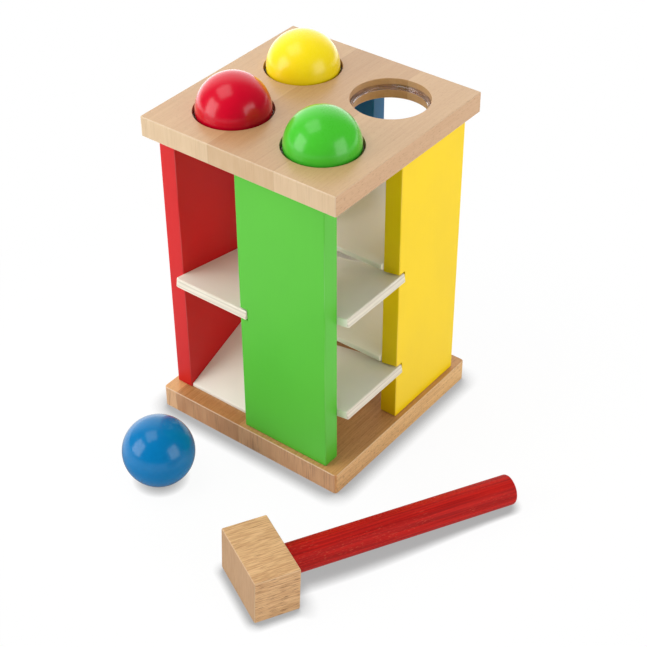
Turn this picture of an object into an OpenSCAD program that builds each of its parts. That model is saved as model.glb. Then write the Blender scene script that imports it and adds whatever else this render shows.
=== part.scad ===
// Ball pounding tower: four painted panels stand in a pinwheel between two beech plates.
// A ball pounded through a hole in the top plate rolls down a spiral of ramps and out at the base.
// The origin is the middle of the base's underside, +Z is up, sizes are in millimetres.
// The front-left side of the tower faces -Y and its front-right side faces +X.

/* [Plates] */
// Side of the square base and top plates
plate_w = 149; // [140:1:170]
// Thickness of the base plate
base_t = 16; // [14:0.5:22]
// Thickness of the top plate
top_t = 14; // [13:0.5:20]
// Height of the top plate's upper face above the floor
tower_h = 230; // [225:1:270]
// Rounding of the plates' upright corners
plate_corner_r = 1; // [0.5:0.5:8]

/* [Panels] */
// Width of each painted panel
panel_w = 67.5; // [64:0.5:72]
// Thickness of each painted panel
panel_t = 12.5; // [10:0.5:13]
// Distance from a plate's edge to the panels' outer faces
face_inset = 3.5; // [1:0.5:6]
// Distance from a plate's edge to the panels' outer ends
end_inset = 11; // [8:0.5:14]

/* [Balls and holes] */
// Diameter of the balls
ball_d = 47.6; // [45:0.1:49]
// Gap all round between a ball and its hole in the top plate
hole_gap = 1.5; // [1:0.1:1.9]
// Gap between a falling ball and the panel beside it
wall_gap = 0.5; // [0.4:0.1:2]
// Place of the loose ball on the floor, along X
loose_ball_x = -27; // [-40:1:-15]
// Place of the loose ball on the floor, along -Y
loose_ball_out = 131; // [120:1:180]

/* [Retaining rings] */
// How much narrower than a ball the opening of a retaining ring is
ring_grip = 1; // [0.6:0.1:1.6]
// Height of a retaining ring
ring_h = 3.5; // [2.5:0.1:4.5]
// Depth of a ring's middle below the top plate's upper face
ring_depth = 6; // [5:0.1:8]
// Depth of the groove that holds a ring, into the wall of its hole
groove_depth = 1.8; // [1:0.1:2.5]
// Depth of the slope on a ring's lip, measured towards the wall
ring_slope = 1; // [0.5:0.1:1.4]

/* [Ramps] */
// Thickness of the ramps
ramp_t = 6.4; // [6:0.1:9]
// Slope of the spiral ramps, in degrees
ramp_slope = 10; // [7:0.5:12]
// Height of the lowest spiral ramp's outer edge above the base
ramp_low = 42.3; // [40:0.1:46]
// Drop from each spiral ramp to the next
ramp_step = 18.5; // [17:0.5:20]
// How far the ramps' outer edges stand out past the panels
ramp_proud = 0.2; // [0:0.1:2]
// How far the ramps' inner ends reach past the middle of the tower
ramp_lap = 6.5; // [4:0.5:8]
// Depth of the slot in a panel's end that carries a ramp
slot_depth = 5.5; // [3:0.5:8]
// Gap above and below a ramp in its slot
slot_gap = 0.5; // [0.1:0.1:0.6]
// Rounding of the ramps' outer and inner edges
ramp_edge_r = 0.8; // [0.5:0.1:2.5]
// Rounding of a ramp's outer corner, seen from above
ramp_corner_r = 2.5; // [1:0.5:6]

/* [Exit ramp] */
// Slope of the exit ramp, in degrees
exit_slope = 22; // [18:0.5:24]
// Height of the exit ramp's front edge
exit_lip = 2.5; // [2:0.5:6]
// Distance from the panels' outer ends back to the exit ramp's front edge
exit_back = 1; // [0:0.5:4]
// How far the exit ramp's upper end reaches past the middle of the tower
exit_lap = 6.5; // [0:0.5:10]
// Gap between the exit ramp and the inner end of the lowest spiral ramp
exit_gap = 1.5; // [0.5:0.1:4]

/* [Hammer] */
// Length of the hammer's head
head_l = 51; // [40:1:60]
// Width of the hammer's head, along the handle
head_w = 30; // [25:1:40]
// Height of the hammer's head
head_h = 33; // [26:1:40]
// Rounding of the head's four long edges
head_edge_r = 1; // [0.5:0.5:4]
// Diameter of the handle
handle_d = 20; // [16:0.5:24]
// Length of the handle outside the head
handle_reach = 160; // [120:1:180]
// Depth of the handle's socket in the head
socket_depth = 20; // [12:1:24]
// Rounding of the handle's far end
handle_end_r = 2; // [1:0.5:7]
// Place of the hammer on the floor, along X
hammer_x = 93.5; // [80:0.5:120]
// Place of the hammer on the floor, along -Y
hammer_out = 153; // [140:0.5:200]
// Turn of the hammer on the floor, in degrees
hammer_turn = -27; // [-35:1:0]

/* [Joinery] */
// Diameter of the dowels between the panels and the top plate
dowel_d = 6; // [4:0.5:7]
// Depth of those dowels in the top plate
dowel_in_top = 9; // [6:0.5:11]
// Depth of those dowels in the panels
dowel_in_panel = 15; // [10:1:25]
// Distance between the two dowels or screws of one panel
fixing_spacing = 44; // [40:1:48]
// Diameter of the pins between the ramps and the panels
pin_d = 4; // [3:0.5:4.5]
// Depth of those pins in the panels
pin_in_panel = 6; // [4:0.5:8]
// Depth of those pins in the ramps
pin_in_ramp = 12; // [6:1:20]
// Distance from a ramp's outer edge to its first pin
pin_from_edge = 22; // [14:1:26]
// Distance between the two pins of one ramp
pin_spacing = 32; // [20:1:36]
// Distance from the exit ramp's upper end to its first pin
exit_pin_from_end = 28; // [26:1:30]
// Distance between the two pins of the exit ramp
exit_pin_spacing = 24; // [16:1:26]
// Diameter of the screws under the base
screw_d = 4; // [3:0.5:5]
// Length of the screws under the base
screw_l = 36; // [28:1:40]
// Diameter of a screw's head
screw_head_d = 8; // [7:0.5:9.5]
// Depth of a screw's head below the base's underside
screw_sink = 1; // [0.5:0.1:2]
// Width of the cross cut in a screw's head
screw_cross_w = 1; // [0.6:0.1:1.4]
// Gap all round between a fixing or a ring and its seat
fit_gap = 0.1; // [0.05:0.05:0.2]

/* [Hidden] */
$fn = 96;

// The four sides in turn: front-left, front-right, back-right and back-left.
PANELS = ["panel_green", "panel_yellow", "panel_blue", "panel_red"];
PANEL_COLORS = [[0.43, 0.78, 0.35], [0.98, 0.85, 0.21], [0.12, 0.36, 0.58], [0.80, 0.16, 0.16]];
// The spiral ramps from the lowest up: each is a quarter turn further round than the one below.
RAMPS = [
    "ramp_front_lower", "ramp_right_lower", "ramp_back_lower", "ramp_left",
    "ramp_front_upper", "ramp_right_upper", "ramp_back_upper"
];
RINGS = ["ring_front", "ring_right", "ring_back", "ring_left"];
// The balls that sit in holes, with the quarter turn of each one's hole.
SEATED_BALLS = ["ball_green", "ball_yellow", "ball_red"];
SEATED_TURNS = [0, 2, 3];
SEATED_COLORS = [[0.30, 0.78, 0.22], [0.99, 0.88, 0.10], [0.84, 0.02, 0.16]];
LOOSE_BALL_COLOR = [0.00, 0.45, 0.70];
BEECH = [0.84, 0.72, 0.58];
RAMP_WHITE = [0.94, 0.92, 0.88];
CLEAR_GREY = [0.75, 0.76, 0.76];
HANDLE_RED = [0.76, 0.13, 0.10];
STEEL = [0.70, 0.71, 0.73];

// Panels: the front-left one is drawn, and the others are quarter turns of it.
face_out = plate_w / 2 - face_inset;
face_in = face_out - panel_t;
end_out = plate_w / 2 - end_inset;
end_free = end_out - panel_w;
panel_mid = end_out - panel_w / 2;
panel_line = -(face_out - panel_t / 2);
panel_top = tower_h - top_t;
fixing_xs = [panel_mid - fixing_spacing / 2, panel_mid + fixing_spacing / 2];

// Ball holes and rings
hole_d = ball_d + 2 * hole_gap;
hole_off = face_in - wall_gap - ball_d / 2;
ring_bore_d = ball_d - ring_grip;
groove_d = hole_d + 2 * groove_depth;
ring_z = tower_h - ring_depth;
ring_lip_z = ring_z + ring_h / 4;
ball_r = ball_d / 2;
seat_r = ball_r + fit_gap;
seated_z = ring_lip_z + sqrt(seat_r * seat_r - ring_bore_d * ring_bore_d / 4);

// Ramps: the front one is drawn, high at +X, and the others are quarter turns of it.
ramp_out = face_out + ramp_proud;
ramp_l = (ramp_out + ramp_lap) / cos(ramp_slope);
ramp_side = end_free + slot_depth - fit_gap;
ramp_w = face_in + ramp_side;
slot_l = panel_t + ramp_proud + ramp_t;
pin_us = [-pin_from_edge, -pin_from_edge - pin_spacing];

// Exit ramp: it is drawn where a front one would lie, low at +X, and turned to the left quarter.
exit_front = end_out - exit_back;
exit_top = base_t + exit_lip + (exit_front + exit_lap) * tan(exit_slope);
exit_w = face_in - ramp_lap - exit_gap;
exit_l = (exit_front + exit_lap) / cos(exit_slope) + ramp_t;
exit_turn = len(PANELS) - 1;
exit_pin_us = [exit_pin_from_end, exit_pin_from_end + exit_pin_spacing];

// How far a cut runs past the face that it starts from
cut = 1;

// Hammer: it tips until the handle's far end touches the floor.
hammer_tip = atan((head_h - handle_d) / 2 / (handle_reach - handle_end_r));

function ramp_z(i) = base_t + ramp_low + i * ramp_step;

module quarter_turns(n) {
    rotate([0, 0, 90 * n]) children();
}

module round_rect(l, h, r) {
    translate([r, 0]) square([l - 2 * r, h]);
    translate([0, r]) square([l, h - 2 * r]);
    for (x = [r, l - r], y = [r, h - r]) {
        translate([x, y]) circle(r);
    }
}

module plate(t) {
    translate([-plate_w / 2, -plate_w / 2, 0])
        linear_extrude(t) round_rect(plate_w, plate_w, plate_corner_r);
}

// Moves what is drawn along a ramp's own length and thickness to where spiral ramp i lies.
module on_ramp(i) {
    translate([ramp_out, 0, ramp_z(i)]) rotate([0, -ramp_slope, 0]) children();
}

// The same for the exit ramp, from its upper end.
module on_exit() {
    translate([-exit_lap, 0, exit_top]) rotate([0, exit_slope, 0]) children();
}

// One upright bore or peg at each fixing of the front-left panel.
module at_fixings(z) {
    for (x = fixing_xs) {
        translate([x, panel_line, z]) children();
    }
}

// One level bore or peg at each place along a ramp, starting from the face of the panel.
module at_pins(places) {
    for (u = places) {
        translate([u, -face_in, -ramp_t / 2]) rotate([-90, 0, 0]) children();
    }
}

module pin(gap = 0) {
    translate([0, 0, -pin_in_panel - gap])
        cylinder(d = pin_d + 2 * gap, h = pin_in_panel + pin_in_ramp + 2 * gap);
}

module dowel(gap = 0) {
    translate([0, 0, panel_top - dowel_in_panel - gap])
        cylinder(d = dowel_d + 2 * gap, h = dowel_in_panel + dowel_in_top + 2 * gap);
}

// A countersunk screw that points up, or with a gap the hole that it needs.
module screw(gap = 0) {
    head_h = (screw_head_d - screw_d) / 2;
    translate([0, 0, screw_sink]) {
        cylinder(d1 = screw_head_d + 2 * gap, d2 = screw_d + 2 * gap, h = head_h);
        cylinder(d = screw_d + 2 * gap, h = screw_l - screw_d);
        translate([0, 0, screw_l - screw_d])
            cylinder(d1 = screw_d + 2 * gap, d2 = gap, h = screw_d + gap);
    }
}

module base_plate() {
    color(BEECH)
        difference() {
            plate(base_t);
            for (side = [0 : 3]) {
                quarter_turns(side) at_fixings(0) {
                    screw(fit_gap);
                    translate([0, 0, -cut]) cylinder(d = screw_head_d + 2 * fit_gap, h = screw_sink + cut);
                }
            }
        }
}

module top_plate() {
    color(BEECH)
        difference() {
            translate([0, 0, panel_top]) plate(top_t);
            for (side = [0 : 3]) {
                quarter_turns(side) {
                    translate([hole_off, -hole_off, panel_top - cut]) cylinder(d = hole_d, h = top_t + 2 * cut);
                    translate([hole_off, -hole_off, ring_z - ring_h / 2 - fit_gap])
                        cylinder(d = groove_d, h = ring_h + 2 * fit_gap);
                    at_fixings(0) dowel(fit_gap);
                }
            }
        }
}

// A panel carries two or three ramps on its inner face, and one or two in slots in its free end.
module panel(side) {
    color(PANEL_COLORS[side])
        quarter_turns(side)
            difference() {
                translate([end_free, -face_out, base_t]) cube([panel_w, panel_t, panel_top - base_t]);
                at_fixings(0) dowel(fit_gap);
                at_fixings(0) screw(fit_gap);
                for (i = [0 : len(RAMPS) - 1]) {
                    if (i % 4 == side) {
                        on_ramp(i) at_pins(pin_us) pin(fit_gap);
                    }
                    if ((i + 1) % 4 == side) {
                        quarter_turns(-1) on_ramp(i) slot_block();
                    }
                }
                if (side == exit_turn) {
                    on_exit() at_pins(exit_pin_us) pin(fit_gap);
                }
            }
}

module slot_block() {
    translate([-slot_l, end_free - cut, -ramp_t - slot_gap])
        cube([2 * slot_l, slot_depth + cut, ramp_t + 2 * slot_gap]);
}

// What is cut from a ramp's outer corner to leave it round.
module corner_cut() {
    translate([-ramp_corner_r, ramp_corner_r - face_in, -ramp_t - cut])
        linear_extrude(ramp_t + 2 * cut)
            difference() {
                translate([0, -ramp_corner_r - cut]) square(ramp_corner_r + cut);
                circle(ramp_corner_r);
            }
}

module ramp(i) {
    color(RAMP_WHITE)
        quarter_turns(i) on_ramp(i)
            difference() {
                translate([-ramp_l, ramp_side, -ramp_t])
                    rotate([90, 0, 0]) linear_extrude(ramp_w) round_rect(ramp_l, ramp_t, ramp_edge_r);
                corner_cut();
                at_pins(pin_us) pin(fit_gap);
            }
}

module exit_ramp() {
    color(RAMP_WHITE)
        quarter_turns(exit_turn)
            difference() {
                intersection() {
                    on_exit() translate([0, -face_in, -ramp_t]) cube([exit_l, exit_w, ramp_t]);
                    translate([exit_front - 2 * plate_w, -plate_w, base_t]) cube([2 * plate_w, 2 * plate_w, tower_h]);
                }
                on_exit() at_pins(exit_pin_us) pin(fit_gap);
            }
}

// A springy ring in a groove: its lip holds a ball up until the ball is pounded through.
module ring(side) {
    lip_r = ring_bore_d / 2;
    wall_r = groove_d / 2 - fit_gap;
    color(CLEAR_GREY)
        quarter_turns(side)
            translate([hole_off, -hole_off, ring_z])
                rotate_extrude()
                    polygon([
                        [lip_r, -ring_h / 4], [lip_r + ring_slope, -ring_h / 2], [wall_r, -ring_h / 2],
                        [wall_r, ring_h / 2], [lip_r + ring_slope, ring_h / 2], [lip_r, ring_h / 4]
                    ]);
}

module seated_ball(b) {
    color(SEATED_COLORS[b])
        quarter_turns(SEATED_TURNS[b]) translate([hole_off, -hole_off, seated_z]) sphere(d = ball_d);
}

module ball_blue() {
    color(LOOSE_BALL_COLOR)
        translate([loose_ball_x, -loose_ball_out, ball_r]) sphere(d = ball_d);
}

// The hammer's own frame starts under the head's inner face, with +Y along the handle.
module hammer_frame() {
    translate([hammer_x, -hammer_out, 0]) rotate([0, 0, hammer_turn]) rotate([-hammer_tip, 0, 0]) children();
}

module along_handle() {
    translate([0, 0, head_h / 2]) rotate([-90, 0, 0]) children();
}

module hammer_head() {
    color(BEECH)
        hammer_frame()
            difference() {
                translate([-head_l / 2, -head_w, 0])
                    rotate([90, 0, 90]) linear_extrude(head_l) round_rect(head_w, head_h, head_edge_r);
                along_handle()
                    translate([0, 0, -socket_depth]) cylinder(d = handle_d + 2 * fit_gap, h = socket_depth + cut);
            }
}

module hammer_handle() {
    handle_l = socket_depth - fit_gap + handle_reach;
    core_r = handle_d / 2 - handle_end_r;
    color(HANDLE_RED)
        hammer_frame() along_handle()
            translate([0, 0, fit_gap - socket_depth])
                rotate_extrude() {
                    square([core_r, handle_l]);
                    square([handle_d / 2, handle_l - handle_end_r]);
                    translate([core_r, handle_l - handle_end_r]) circle(handle_end_r);
                }
}

module top_dowels() {
    color(BEECH)
        for (side = [0 : 3]) {
            quarter_turns(side) at_fixings(0) dowel();
        }
}

module ramp_pins() {
    color(BEECH) {
        for (i = [0 : len(RAMPS) - 1]) {
            quarter_turns(i) on_ramp(i) at_pins(pin_us) pin();
        }
        quarter_turns(exit_turn) on_exit() at_pins(exit_pin_us) pin();
    }
}

module base_screws() {
    cross_l = (screw_head_d + screw_d) / 2;
    color(STEEL)
        for (side = [0 : 3]) {
            quarter_turns(side) at_fixings(0)
                difference() {
                    screw();
                    for (turn = [0, 90]) {
                        rotate([0, 0, turn]) translate([-cross_l / 2, -screw_cross_w / 2, 0])
                            cube([cross_l, screw_cross_w, screw_sink + screw_cross_w]);
                    }
                }
        }
}

base_plate();
top_plate();
for (side = [0 : 3]) {
    panel(side);
    ring(side);
}
for (i = [0 : len(RAMPS) - 1]) {
    ramp(i);
}
exit_ramp();
for (b = [0 : len(SEATED_BALLS) - 1]) {
    seated_ball(b);
}
ball_blue();
hammer_head();
hammer_handle();
top_dowels();
ramp_pins();
base_screws();
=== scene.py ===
# %% [markdown]
# # A ball pounding tower
# The toy is a square wooden tower. Four painted panels stand in a pinwheel between two beech plates,
# and white boards between them make a spiral that a ball rolls down.
# Three balls sit in holes in the top, one has rolled out, and a wooden hammer lies in front.
# The solids come from the frame. This lesson gives every piece its eased edges and its finish.

# %% Load the frame
import math
import bmesh
import bpy
from mathutils import Euler, Matrix, Vector


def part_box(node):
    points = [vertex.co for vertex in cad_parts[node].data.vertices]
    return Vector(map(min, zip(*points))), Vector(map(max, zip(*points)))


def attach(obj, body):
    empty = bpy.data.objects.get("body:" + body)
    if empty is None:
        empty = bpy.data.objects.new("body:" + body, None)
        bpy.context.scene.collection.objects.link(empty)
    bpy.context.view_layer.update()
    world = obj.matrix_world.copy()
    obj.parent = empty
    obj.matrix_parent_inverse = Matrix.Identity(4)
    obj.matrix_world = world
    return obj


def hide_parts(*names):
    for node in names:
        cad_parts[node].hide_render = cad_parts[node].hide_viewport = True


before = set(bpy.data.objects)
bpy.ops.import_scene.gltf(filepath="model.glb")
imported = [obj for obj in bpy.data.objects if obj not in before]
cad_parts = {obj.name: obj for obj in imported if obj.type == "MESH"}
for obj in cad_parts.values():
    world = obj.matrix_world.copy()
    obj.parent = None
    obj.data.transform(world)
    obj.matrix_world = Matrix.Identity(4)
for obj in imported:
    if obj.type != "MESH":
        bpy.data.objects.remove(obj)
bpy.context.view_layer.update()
mm = 0.001

# %% [markdown]
# ## Camera
# The picture was taken from about a metre away, well above the tower, with a longish lens.
# A camera could be set by eye. This one was fitted to the tower's edges, which tells its lens as well.
# It looks at a point on the tower's axis and is rolled a little, as a hand-levelled one is.
# A small shift moves the object off the middle of the picture without turning the camera.

# %% Camera
PICTURE = 647
SENSOR = 36
LOOK_AT = Vector((0, 0, 70.5)) * mm
CAMERA_AT = Vector((507.5, -643.4, 698.5)) * mm
CAMERA_ROLL = math.radians(-0.65)
FOCAL_PIXELS = 1529.5
AXIS_PIXEL = (314.8, 310.7)


def shown(name, data):
    """A new object of the scene, made from this data."""
    made = bpy.data.objects.new(name, data)
    bpy.context.scene.collection.objects.link(made)
    return made


lens = bpy.data.cameras.new("camera")
lens.sensor_width = SENSOR
lens.lens = FOCAL_PIXELS / PICTURE * SENSOR
lens.shift_x = (PICTURE / 2 - AXIS_PIXEL[0]) / PICTURE
lens.shift_y = (AXIS_PIXEL[1] - PICTURE / 2) / PICTURE
camera = shown("camera", lens)
aim = (LOOK_AT - CAMERA_AT).to_track_quat("-Z", "Y").to_matrix().to_4x4()
camera.matrix_world = Matrix.Translation(CAMERA_AT) @ aim @ Matrix.Rotation(CAMERA_ROLL, 4, "Z")
bpy.context.scene.camera = camera
print("lens", round(lens.lens, 1), "mm")

# %% [markdown]
# ## Light
# The balls show what lit them: one soft box at the left, one at the right and one overhead.
# An even dome would light the wood well enough, but gloss paint needs lamps with edges to mirror.
# Each box is an area lamp placed in the direction its reflection gives, and none of them is seen itself.

# %% Lamps
LAMP_AWAY = 1.3


def soft_box(name, direction, size, watts):
    """A lamp that shines on the tower from this direction."""
    lamp = bpy.data.lights.new(name, "AREA")
    lamp.shape = "RECTANGLE"
    lamp.size, lamp.size_y = size
    lamp.energy = watts
    toward = Vector(direction).normalized()
    turn = toward.to_track_quat("Z", "Y").to_matrix().to_4x4()
    box = shown(name, lamp)
    box.matrix_world = Matrix.Translation(LOOK_AT + toward * LAMP_AWAY) @ turn
    box.visible_camera = False


soft_box("left_box", (-0.50, -0.79, 0.36), (0.75, 0.85), 8.8)
soft_box("right_box", (0.95, 0.02, 0.30), (0.80, 0.85), 7.1)
soft_box("top_box", (-0.24, -0.27, 0.93), (0.78, 0.72), 4.7)

# %% [markdown]
# ## Shader sums
# A finish could be wired up node by node, but it is easier to read as a sum than as a web.
# A Value wraps one socket, so that 1 - mask or a * b adds the Math node it needs.
# Colours go through Mix nodes instead, because a Math node would turn them grey.

# %% Values
class Value:
    """One shader number. Sums with it add Math nodes."""

    def __init__(self, nodes, socket):
        self.nodes = nodes
        self.socket = socket

    def math(self, operation, first, second=None):
        sockets = {0: first} if second is None else {0: first, 1: second}
        return self.nodes.node("ShaderNodeMath", {"operation": operation}, sockets)

    def __add__(self, other):
        return self.math("ADD", self, other)

    def __sub__(self, other):
        return self.math("SUBTRACT", self, other)

    def __rsub__(self, other):
        return self.math("SUBTRACT", other, self)

    def __mul__(self, other):
        return self.math("MULTIPLY", self, other)

    def __truediv__(self, other):
        return self.math("DIVIDE", self, other)

    def __pow__(self, other):
        return self.math("POWER", self, other)

    __radd__ = __add__
    __rmul__ = __mul__

    def part(self):
        return self.math("FRACT", self)

    def size(self):
        return self.math("ABSOLUTE", self)

    def most(self, other):
        return self.math("MAXIMUM", self, other)

    def above(self, other):
        return self.math("GREATER_THAN", self, other)


print("a value knows:", [name for name in vars(Value) if not name.startswith("_")])

# %% [markdown]
# A node tree gets all its nodes from one method, which sets a node's settings before its sockets.
# Each kind of node could have a helper of its own, but then the list of helpers would never end.

# %% Node trees
class Nodes:
    """One node tree. Its node method adds any kind of node."""

    def __init__(self, tree):
        self.tree = tree

    def feed(self, socket, value):
        if isinstance(value, Value):
            self.tree.links.new(value.socket, socket)
        elif socket.type == "RGBA":
            socket.default_value = (*value, 1)
        else:
            socket.default_value = value

    def node(self, kind, settings=None, sockets=None, out=0):
        made = self.tree.nodes.new(kind)
        for key, value in (settings or {}).items():
            setattr(made, key, value)
        for key, value in (sockets or {}).items():
            self.feed(made.inputs[key], value)
        return Value(self, made.outputs[out])

    def ramp(self, value, low, high):
        """0 below low, 1 above high, and smooth between."""
        return self.node("ShaderNodeMapRange", {"interpolation_type": "SMOOTHSTEP"},
                         {"Value": value, "From Min": low, "From Max": high})


print("a node tree offers:", [name for name in vars(Nodes) if not name.startswith("_")])

# %% [markdown]
# A Finish is one material. It adds what every material of this toy needs: a place measured in
# millimetres, noise with grains of a given size, a mix of two colours, and relief.
# Places are Object coordinates, so that a pattern sits still in its piece, whatever the piece does.

# %% Finishes
class Finish(Nodes):
    """One material. Its shader is a Principled BSDF, and set feeds that."""

    def __init__(self, name):
        self.material = bpy.data.materials.new(name)
        self.material.use_nodes = True
        super().__init__(self.material.node_tree)
        self.shader = self.tree.nodes["Principled BSDF"]

    def set(self, **sockets):
        for key, value in sockets.items():
            self.feed(self.shader.inputs[key.replace("_", " ")], value)
        return self

    def place(self, turn=None):
        """Object coordinates in millimetres, or those of a frame that lies turned in the object."""
        turn = turn or Matrix.Identity(4)
        spot = self.node("ShaderNodeTexCoord", out="Object")
        sockets = {"Vector": spot, "Location": turn.translation, "Rotation": turn.to_euler(),
                   "Scale": (mm, mm, mm)}
        return self.node("ShaderNodeMapping", {"vector_type": "TEXTURE"}, sockets)

    def axes(self, spot):
        return [self.node("ShaderNodeSeparateXYZ", None, {0: spot}, out) for out in "XYZ"]

    def noise(self, spot, stretch, detail):
        """Noise whose grains are as long in each direction as stretch says, in millimetres."""
        scale = [1 / length for length in stretch]
        spot = self.node("ShaderNodeVectorMath", {"operation": "MULTIPLY"}, {0: spot, 1: scale})
        return self.node("ShaderNodeTexNoise", None, {"Vector": spot, "Scale": 1.0, "Detail": detail})

    def mix(self, factor, first, second, blend="MIX"):
        return self.node("ShaderNodeMix", {"data_type": "RGBA", "blend_type": blend},
                         {"Factor": factor, "A": first, "B": second}, out="Result")

    def bump(self, height, distance):
        """Relief from a height between 0 and 1 that stands for this many metres."""
        return self.node("ShaderNodeBump", None, {"Height": height, "Strength": 1.0, "Distance": distance})


print("a finish adds:", [name for name in vars(Finish) if not name.startswith("_")])

# %% [markdown]
# ## Colours
# Colours are easiest to judge as a screen shows them, from 0 to 255, but a shader works with light.
# A colour picker would do the change unseen. Here one function does it, and another makes a colour darker.

# %% Colours
def seen(red, green, blue):
    """A colour as a screen shows it, from 0 to 255, as the light it stands for."""
    parts = [part / 255 for part in (red, green, blue)]
    return tuple(p / 12.92 if p <= 0.04045 else ((p + 0.055) / 1.055) ** 2.4 for p in parts)


def shade(colour, factor):
    return tuple(part * factor for part in colour)


print("seen white:", seen(255, 255, 255))

# %% [markdown]
# ## Studio
# To the eye, and through glass, the studio is white all round. A world of one white would do for that,
# but it would turn every gloss paint pale. So gloss and the light on the toy see what a studio has:
# a bright backdrop behind the toy, and a dim room on the camera's side.

# %% World
BACKDROP_SIDE = (-0.655, 0.72, 0.23)
GLOSS_ROOM, GLOSS_BACKDROP, GLOSS_TURN = 0.06, 1.4, (0.45, 0.9)
LIGHT_ROOM, LIGHT_BACKDROP, LIGHT_TURN = 0.31, 1.3, (0.0, 0.75)


def rays(nodes, *kinds):
    """1 on rays of these kinds."""
    found = [nodes.node("ShaderNodeLightPath", out=f"Is {kind} Ray") for kind in kinds]
    most = found[0]
    for other in found[1:]:
        most = most.most(other)
    return most


bpy.context.scene.view_settings.view_transform = "Standard"
sky = bpy.data.worlds.new("studio")
bpy.context.scene.world = sky
sky.use_nodes = True
air = Nodes(sky.node_tree)
way = air.node("ShaderNodeTexCoord", out="Generated")
facing = air.node("ShaderNodeVectorMath", {"operation": "DOT_PRODUCT"}, {0: way, 1: BACKDROP_SIDE}, "Value")
gloss = GLOSS_ROOM + (GLOSS_BACKDROP - GLOSS_ROOM) * air.ramp(facing, *GLOSS_TURN)
light = LIGHT_ROOM + (LIGHT_BACKDROP - LIGHT_ROOM) * air.ramp(facing, *LIGHT_TURN)
unseen = light + (gloss - light) * rays(air, "Glossy")
dome = sky.node_tree.nodes["Background"]
air.feed(dome.inputs["Color"], (1, 1, 1))
air.feed(dome.inputs["Strength"], unseen + (1 - unseen) * rays(air, "Camera", "Transmission"))
print("world:", len(sky.node_tree.nodes), "nodes")

# %% [markdown]
# ## Floor
# The toy stands on a white sweep that fills the picture, and only a soft shadow shows.
# A shadow catcher would need compositing, so here the floor glows, and its glow fades close to what stands
# on it, as light does where it can't get in. An Ambient Occlusion node finds those places.
# It looks further beside the base than beside the loose things, and beside the handle it looks less far
# towards the handle's end. It leans away from the camera, so the shadow falls on the camera's side.
# Around the loose ball the shadow is softer, because a ball touches the floor at one point only.

# %% Shadow on the floor
BASE_REACH, LOOSE_REACH, HANDLE_SHADE = 13 * mm, 7 * mm, 13.5 * mm
BASE_ZONE = (20, 30)
HANDLE_WAY, HANDLE_START, HANDLE_FADE = (0.454, 0.891), (-98, -88), (-60, 70)
SHADE_LEAN, SHADE_SAMPLES = (-0.12, 0.22, 0.97), 16
CONTACT_POWER, DARKEST = 1.4, 0.54
BALL_SHADE, BALL_ZONE = 0.29, (30, 42)


def middle(node):
    """The middle of a CAD node at rest."""
    low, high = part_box(node)
    return (low + high) / 2


sweep = Finish("white_sweep")
spot = sweep.place()
x, y, _ = sweep.axes(spot)
outside = x.size().most(y.size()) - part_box("base_plate")[1].x / mm
along_hammer = x * HANDLE_WAY[0] + y * HANDLE_WAY[1]
by_handle = sweep.ramp(along_hammer, *HANDLE_START) * (1 - sweep.ramp(along_hammer, *HANDLE_FADE))
loose_reach = LOOSE_REACH + (HANDLE_SHADE - LOOSE_REACH) * by_handle
reach = BASE_REACH + (loose_reach - BASE_REACH) * sweep.ramp(outside, *BASE_ZONE)
lean = sweep.node("ShaderNodeCombineXYZ", None, dict(zip("XYZ", SHADE_LEAN)))
contact = sweep.node("ShaderNodeAmbientOcclusion", {"samples": SHADE_SAMPLES},
                     {"Distance": reach, "Normal": lean}, "AO")
ball_at = middle("ball_blue") / mm
off_ball = ((x - ball_at.x) ** 2 + (y - ball_at.y) ** 2) ** 0.5
by_ball = 1 - sweep.ramp(off_ball, *BALL_ZONE)
deep_shade = contact.most(DARKEST) ** CONTACT_POWER
soft_shade = BALL_SHADE + (1 - BALL_SHADE) * contact
shaded = deep_shade + (soft_shade - deep_shade) * by_ball
print("the loose ball lies at", [round(part) for part in ball_at], "mm")

# %% [markdown]
# The rest of the floor's finish is what gloss sees of it, and a little paint that takes the lamps'
# own shadow. In gloss the floor is dimmer around the loose ball, which keeps the ball's lower half
# deep blue, and brighter behind the toy, where a sweep rises to the backdrop. That gives the balls
# their pale rims.
# Far from the toy the paint gives way to glow, so the floor stays white to the edge of the picture.

# %% Floor
FLOOR_SIZE, FLOOR_DROP = 4.0, 0.1 * mm
FLOOR_PAINT, FLOOR_GLOW = 0.95, 0.94
SHADOW_REACH = (0.16, 0.30)
DIM_ZONE, DIM_IN_GLOSS = (40, 105), 0.75
SWEEP_TURN, SWEEP_IN_GLOSS = (60, 300), 1.8


def as_mesh(name, bm):
    """Mesh data from a bmesh, which is freed."""
    mesh = bpy.data.meshes.new(name)
    bm.to_mesh(mesh)
    bm.free()
    return mesh


away = sweep.node("ShaderNodeVectorMath", {"operation": "LENGTH"}, {0: spot}, "Value") * mm
glow = FLOOR_GLOW + (1 - FLOOR_GLOW) * sweep.ramp(away, *SHADOW_REACH)
dim = (1 - sweep.ramp(off_ball, *DIM_ZONE)) * DIM_IN_GLOSS
behind = sweep.ramp(x * BACKDROP_SIDE[0] + y * BACKDROP_SIDE[1], *SWEEP_TURN)
in_gloss = rays(sweep, "Glossy") * ((SWEEP_IN_GLOSS - 1) * behind - dim)
white = sweep.node("ShaderNodeEmission", None, {"Color": shaded * (1 + in_gloss), "Strength": 1.0})
matt = sweep.node("ShaderNodeBsdfDiffuse", None, {"Color": (FLOOR_PAINT,) * 3})
on_sight = rays(sweep, "Camera", "Glossy", "Transmission")
both = sweep.node("ShaderNodeMixShader", None, {0: glow * on_sight, 1: matt, 2: white})
sweep.feed(sweep.tree.nodes["Material Output"].inputs["Surface"], both)

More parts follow.
